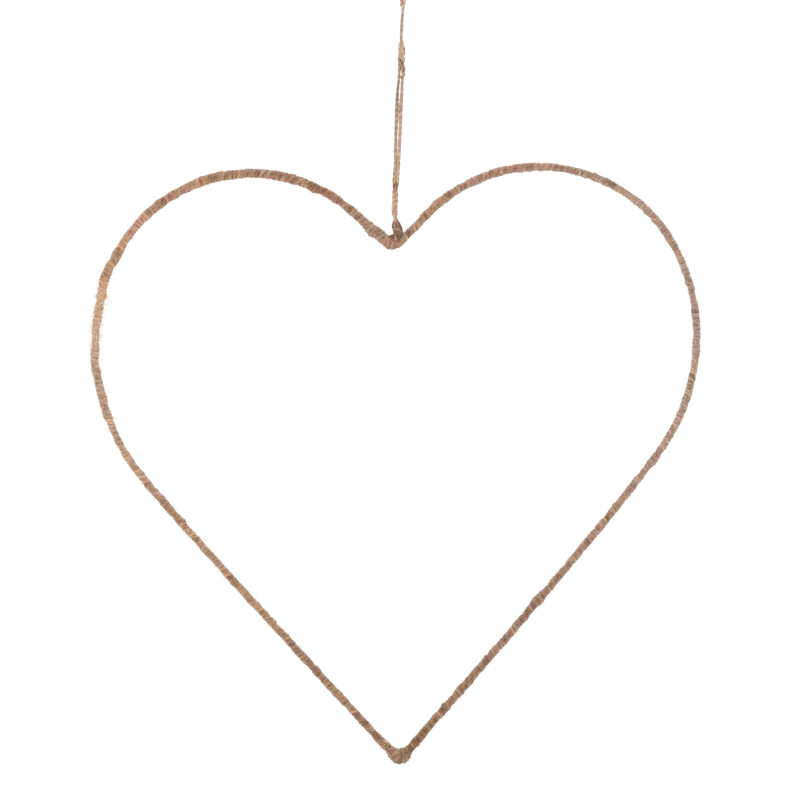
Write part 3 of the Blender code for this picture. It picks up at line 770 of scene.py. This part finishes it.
def jute(name, light, middle, dark, red, olive, tints):
    """Jute: long pale and dark fibres along the twine, in reddish and olive lengths."""
    material, tree, shader = new_material(name)
    fibre = attribute(tree, "fibre").outputs["Vector"]
    tone = attribute(tree, "tone").outputs["Fac"]
    place = tree.nodes.new("ShaderNodeTexCoord").outputs["Object"]

    fine = noise(tree, stretch(tree, fibre, (0.35, 5.0, 5.0)), 1.0, 4.0, 0.65)
    coarse = noise(tree, stretch(tree, fibre, (0.16, 1.6, 1.6)), 1.0, 3.0)
    length = noise(tree, stretch(tree, fibre, (0.10, 0.15, 0.15)), 1.0, 3.0)
    colour = ramp(tree, fine, ((0.30, dark), (0.50, middle), (0.72, light)))
    colour = multiply(tree, colour, ramp(tree, coarse, STREAKS), STREAK_STRENGTH)
    hue = ramp(tree, noise(tree, place, 210.0, 4.0, 0.7), ((0.38, red), (0.62, olive)))
    colour = multiply(tree, colour, hue)
    colour = multiply(tree, colour, ramp(tree, length, LENGTHS))
    colour = multiply(tree, colour, ramp(tree, noise(tree, place, 28.0, 4.0), PATCHES))
    for direction, ends, stops in tints:
        colour = multiply(tree, colour, drift(tree, place, direction, ends, stops))
    colour = multiply(tree, colour, ramp(tree, spread(tree, tone, -2.0, 2.0), TONES))
    tree.links.new(colour, shader.inputs["Base Color"])

    shader.inputs["Roughness"].default_value = 0.85
    shader.inputs["Specular IOR Level"].default_value = 0.25
    shader.inputs["Sheen Weight"].default_value = 0.5
    shader.inputs["Sheen Roughness"].default_value = 0.35
    bump = tree.nodes.new("ShaderNodeBump")
    bump.inputs["Strength"].default_value = 0.8
    bump.inputs["Distance"].default_value = 0.12 * MM
    tree.links.new(fine, bump.inputs["Height"])
    tree.links.new(bump.outputs["Normal"], shader.inputs["Normal"])
    return material


def hair_material():
    material, tree, shader = new_material("stray_fibres")
    colour = ramp(tree, attribute(tree, "tone").outputs["Fac"], HAIR_TONES)
    tree.links.new(colour, shader.inputs["Base Color"])
    shader.inputs["Roughness"].default_value = 0.6
    return material


def hanger_x(heights):
    """Where the hanger's middle line is across, at heights."""
    line = smooth_route([(x * MM, 0.0, z * MM) for x, z in HANGER_ROUTE], 400)
    return np.interp(heights, line[::-1, 2], line[::-1, 0])


def leg_path(side):
    """A leg from the tie up, twisted round the other low down: side is 1 for left, -1 for right."""
    heights = np.arange(LEG_TOP, TIE_TOP, -CORD_STEP)
    across = side * blend_table(LEG_SIDE, -heights / MM) * MM
    deep = side * blend_table(LEG_DEPTH, -heights / MM) * MM
    return np.stack((hanger_x(heights) + across, deep, heights), axis=1)[::-1]


def loop_path():
    """The loop from its foot on the right round to its foot on the left."""
    half = 0.5 * LOOP_WIDTH
    foot = 0.62 * TWINE_DIAMETER
    right = [
        (foot, -LOOP_HEIGHT),
        (foot + 0.26 * half, -0.80 * LOOP_HEIGHT),
        (0.74 * half, -0.58 * LOOP_HEIGHT),
        (half, -0.34 * LOOP_HEIGHT),
        (0.78 * half, -0.10 * LOOP_HEIGHT),
    ]
    line = right + [(0.0, 0.5 * TWINE_DIAMETER)] + [(-x, z) for x, z in right[::-1]]
    return smooth_route([(x, 0.0, z) for x, z in line], 160)


def loop_knot_path():
    """The turns of twine round the cord under the loop."""
    top = -LOOP_HEIGHT - CLEARANCE
    start, finish = top - 3.6 * MM, top - 0.8 * MM
    wide, deep = 2.1 * MM, 1.5 * MM
    turns, first_angle = 2.2, 0.8
    share = np.linspace(0.0, 1.0, int(turns * 2 * math.pi * wide / KNOT_STEP))
    angle = first_angle + 2 * math.pi * turns * share
    heights = start + (finish - start) * share
    return np.stack((wide * np.cos(angle), deep * np.sin(angle), heights), axis=1)


def add_by_hand(mesh, rows, seed, skins, tone_table=None):
    """Strands along given routes, each with tapered ends."""
    for number, (radius, shade, points) in enumerate(rows):
        path = even(smooth_route(np.array(points) * MM, 40 * len(points)), KNOT_STEP)
        tones = shade + 0.35 * wander(travel(path), 4 * MM, seed + number)
        if tone_table:
            tones += blend_table(tone_table, -path[:, 2] / MM)
        skins.append(twine(mesh, path, radius * MM, seed + 20 * number, tones, taper=STRAND_TAPER))


def cord_strand(name, points, count, seed, shift, replaces, skins):
    """A cord along a smooth route through points, as a piece, and the route itself."""
    path = even(smooth_route(points, count), CORD_STEP)
    tones = np.interp(-path[:, 2] / MM, *zip(*CORD_TONE))
    tones = tones + 0.4 * wander(travel(path), 5 * MM, seed + 1) + shift
    sizes = CORD_RADIUS * blend_table(LEG_SWELL, -path[:, 2] / MM)
    strands = Strands()
    skins.append(twine(strands, path, sizes, seed, tones, crevice_shade=CORD_CREVICE_SHADE))
    return strands.make(name, JUTE, replaces=replaces), path


def make_cords(skins):
    """The long cord up to and round the loop, the short leg, and their knots."""
    knot = Strands()
    add_by_hand(knot, HANGER_KNOT_STRANDS, 3100, skins)
    knot.make("hanger_knot_strands", JUTE, replaces=["hanger_knot"])

    knot = Strands()
    path = loop_knot_path()
    tones = 1.1 + 0.5 * wander(travel(path), 6 * MM, 322)
    skins.append(twine(knot, path, CORD_RADIUS, 320, tones))
    knot.make("loop_knot_strands", JUTE, replaces=["loop_knot"])

    # Some points of a leg and of the loop, with the listed points between and after them
    strand, end = np.array(LONG_CORD_ABOVE) * MM, np.array(LOOP_END) * MM
    points = np.vstack((leg_path(1.0)[::8], strand, loop_path()[6:-6:10], end))
    cord, path = cord_strand(
        "hanger_cord", points, 1200, 330, LONG_CORD_TONE,
        ["hanger_leg_left", "hanger_strand", "hanging_loop"], skins,
    )

    points = np.vstack((leg_path(-1.0)[::8], np.array(SHORT_LEG_END) * MM))
    cord, path = cord_strand(
        "hanger_short_leg", points, 400, 340, SHORT_LEG_TONE, ["hanger_leg_right"], skins,
    )


def wound_path(places, angles, radii, slant):
    """Points wound round the ring, and their outward directions."""
    middle, ahead, inward = ring_frame(places)
    out = np.cos(angles)[:, None] * inward + np.sin(angles)[:, None] * BACK
    return middle + radii[:, None] * out + slant[:, None] * ahead, out


def bulb_rows():
    """The strands of the tie's bulb, as rows like the listed ones."""
    rows = []
    for number in range(BULB_STRANDS):
        angle = 2 * math.pi * (number + 0.5) / BULB_STRANDS
        points = [
            (0.5 * (left + right) + 0.5 * (right - left) * math.cos(angle),
             depth * math.sin(angle), height)
            for height, left, right, depth in zip(BULB_HEIGHTS, BULB_LEFT, BULB_RIGHT, BULB_DEPTH)
        ]
        rows.append((BULB_RADIUS, (0.3, -0.3)[number % 2], points))
    return rows


def make_tie(skins):
    """The twine round the ring at the cleft, and the knot over it."""
    tie = Strands()
    share = np.linspace(0.0, 1.0, TIE_TURNS * TIE_TURN_STEPS)
    turns = share * TIE_TURNS
    angles = 2 * math.pi * TIE_TURNS * share
    first, last = TIE_PLACES
    places = (first + (last - first) * share) * MM
    radii = ring_radius(places) - 0.25 * MM + 0.15 * MM * wander(turns, 0.6, 6)
    radii += TIE_BULGE * np.sin(math.pi * share)
    radii += lumps(np.mod(places, RING_LENGTH), angles)
    path, out = wound_path(places, angles, radii, 0.4 * MM * wander(turns, 0.5, 5))
    tones = 0.5 * wander(turns, 0.6, 7) - 0.1
    skins.append(twine(tie, path, TIE_TURN_RADIUS, 350, tones, out, FLAT))
    add_by_hand(tie, bulb_rows(), 5100, skins, TIE_TONE)
    add_by_hand(tie, TIE_STRANDS, 3600, skins)
    tie.make("tie_strands", TIED_JUTE, replaces=["cleft_tie"])


def make_loose_strands(skins):
    loose = Strands()
    add_by_hand(loose, LOOSE_STRANDS, 3900, skins)
    loose.make("loose_strands", JUTE_WRAP)


def turn_places(count, seed):
    """Where each turn starts round the ring: uneven, and closer round the tip."""
    rng = np.random.default_rng(seed)
    pitch = 1.0 + 0.14 * rng.normal(size=count).clip(-1.7, 1.7)
    middle = (np.arange(count) + 0.5) / count
    closer, reach = TIP_CLOSENESS
    pitch *= 1.0 - closer * np.exp(-(((middle - 0.5) / reach) ** 2))
    pitch *= RING_LENGTH / pitch.sum()
    return np.concatenate(([0.0], np.cumsum(pitch)))


def lumps(places, angles):
    """How far the lumps of wrap stand proud, by place and side."""
    return MM * sum(
        height * np.exp(-(((places / MM - place) / length) ** 2))
        * (1.0 - abs(side) + np.maximum(0.0, side * np.cos(angles)))
        for place, side, height, length in LUMPS
    )


def unevenness(places, angles):
    """How far the winding stands proud of the ring's plain thickness, by place and side."""
    outer = 0.5 - 0.5 * np.cos(angles)
    front = 0.5 + 0.5 * np.sin(angles)
    return MM * (
        0.36 * wander(places, 3.4 * MM, 31) * outer
        + 0.36 * wander(places, 3.4 * MM, 32) * (1.0 - outer)
        + 0.22 * wander(places, 3.0 * MM, 33) * front
        + 0.22 * wander(places, 3.0 * MM, 34) * (1.0 - front)
        + 0.16 * wander(places, 9.0 * MM, 35)
    ) + lumps(places, angles)


def make_wrap(skins):
    """The winding: two strands laid side by side, each cut in half to make two pieces."""
    count = round(RING_LENGTH / TURN_PITCH)
    starts = turn_places(count, 11)
    turns = np.arange(count * TURN_STEPS + 1) / TURN_STEPS
    angles = -2 * math.pi * turns
    for strand in range(2):
        seed = 100 * strand
        places = np.interp(turns + SECOND_STRAND * strand, np.arange(count + 1), starts)
        places = places + 0.22 * MM * wander(turns, 0.8, seed + 20)
        radii = ring_radius(places) - (FLAT[0] - WRAP_PROUD) * STRAND_RADIUS
        radii += unevenness(places, angles) + 0.10 * MM * wander(turns, 0.7, seed + 21)
        radii += np.maximum(0.0, wander(turns, 1.3, seed + 23) - 0.6) * 0.8 * MM  # loose turns
        slant = (0.45 + 0.5 * wander(turns, 5.0, 24) + 0.25 * wander(turns, 0.9, seed + 25)) * MM
        path, out = wound_path(places, angles, radii, slant * np.cos(angles - 0.4))
        tones = (
            0.62 * wander(turns, 1.1, seed + 26)
            + 0.52 * wander(turns, 0.35, seed + 27)
            + 0.30 * wander(turns, 7.0, 28)
            # painted rim light: the ring's two sides paler than its front and back
            + PAINTED_RIM_LIGHT * (np.abs(np.cos(angles)) - RIM_LIGHT_MIDDLE)
            # painted shade below the cleft and painted light towards the heart's sides
            + PAINTED_SIDE_LIGHT * np.abs(path[:, 0] - CLEFT[0]) / RIGHT_REACH - PAINTED_CLEFT_SHADE
            + blend_table(RING_TONE, np.mod(places, RING_LENGTH) / MM)
        )
        half = len(turns) // 2
        for number, part in enumerate((slice(0, half + 1), slice(half, None))):
            mesh = Strands()
            skins.append(twine(
                mesh, path[part], STRAND_RADIUS, 400 + seed + 50 * number, tones[part],
                out[part], FLAT, pitch=WOUND_PLY_PITCH,
            ))
            name = "wrap_" + ("right", "left")[number] + "_" + str(strand + 1)
            mesh.make(name, JUTE_WRAP, () if strand or number else ["heart_frame"])


def make_under_layer():
    """The layer under the winding, seen only in its gaps, darkened with painted shade."""
    places = np.linspace(0.0, RING_LENGTH, UNDER_LAYER_STEPS + 1)[:-1]
    middle, _, inward = ring_frame(places)
    radii = ring_radius(places) - UNDER_LAYER_DEPTH * STRAND_RADIUS
    angles = circle(UNDER_LAYER_SIDES)
    out = np.cos(angles)[None, :, None] * inward[:, None, :] + np.sin(angles)[None, :, None] * BACK
    rings = middle[:, None, :] + radii[:, None, None] * out
    grid = np.arange(rings.shape[0] * rings.shape[1]).reshape(rings.shape[:2])
    after, across = np.roll(grid, -1, axis=0), np.roll(grid, -1, axis=1)
    both = np.roll(after, -1, axis=1)
    faces = np.stack((grid, after, both, across), axis=2).reshape(-1, 4)
    mesh = bpy.data.meshes.new("under_layer")
    mesh.from_pydata(rings.reshape(-1, 3).tolist(), [], faces.tolist())
    mesh.polygons.foreach_set("use_smooth", np.ones(len(faces), bool))
    add_attribute(mesh, "fibre", "FLOAT_VECTOR", "vector", rings / MM)
    add_attribute(mesh, "tone", "FLOAT", "value", np.full(grid.size, UNDER_LAYER_PAINTED_SHADE))
    place_piece("under_layer", mesh, JUTE_WRAP)


def make_stray_fibres(skins, name, count, seed):
    hairs = Strands()
    add_hairs(hairs, skins, count, seed)
    hairs.make(name, HAIR)


def make_frayed_stretch(skins):
    """Long pale fibres that lie along the ring on the left, where the winding is worn."""
    low, high = sorted(ring_frame(np.array(FRAYED) * MM)[0][:, 2])
    worn = []
    for points, outs, _ in skins:
        chosen = (points[:, 2] > low) & (points[:, 2] < high) & (outs[:, 1] < 0.2)
        outs = outs[chosen]
        worn.append((points[chosen], outs, unit(UP - outs * outs[:, 2:3])))
    hairs = Strands()
    add_hairs(
        hairs, worn, FRAYED_HAIRS, 64, reach=(2.5, 8.0), lift=(0.1, 0.8), tones=(0.5, 1.4),
        thick=(0.06, 0.18), stray=0.35,
    )
    hairs.make("frayed_fibres", HAIR)


camera_and_light()
JUTE = jute(
    "jute_twine", light=(0.475, 0.358, 0.278), middle=(0.293, 0.202, 0.154),
    dark=(0.114, 0.070, 0.050), red=(1.11, 0.93, 0.92), olive=(0.95, 1.01, 0.89), tints=CORD_TINTS,
)
TIED_JUTE = jute(
    "tied_jute", light=(0.485, 0.350, 0.260), middle=(0.297, 0.196, 0.142),
    dark=(0.117, 0.068, 0.046), red=(1.13, 0.92, 0.94), olive=(0.98, 0.99, 0.92), tints=TIE_TINTS,
)
JUTE_WRAP = jute(
    "jute_wrap", light=(0.472, 0.335, 0.247), middle=(0.274, 0.177, 0.126),
    dark=(0.105, 0.062, 0.041), red=(1.105, 0.935, 0.955), olive=(0.94, 1.008, 0.90),
    tints=RING_TINTS,
)
HAIR = hair_material()
cord_skins, ring_skins = [], []
make_cords(cord_skins)
make_tie(cord_skins)
make_loose_strands(cord_skins)
make_wrap(ring_skins)
make_under_layer()
right_skins, left_skins = ring_skins[::2], ring_skins[1::2]  # as make_wrap makes them
make_stray_fibres(cord_skins, "hanger_fibres", HANGER_HAIRS, 61)
make_stray_fibres(right_skins, "ring_fibres_right", RING_HAIRS, 62)
make_stray_fibres(left_skins, "ring_fibres_left", RING_HAIRS, 63)
make_frayed_stretch(left_skins)
floor()
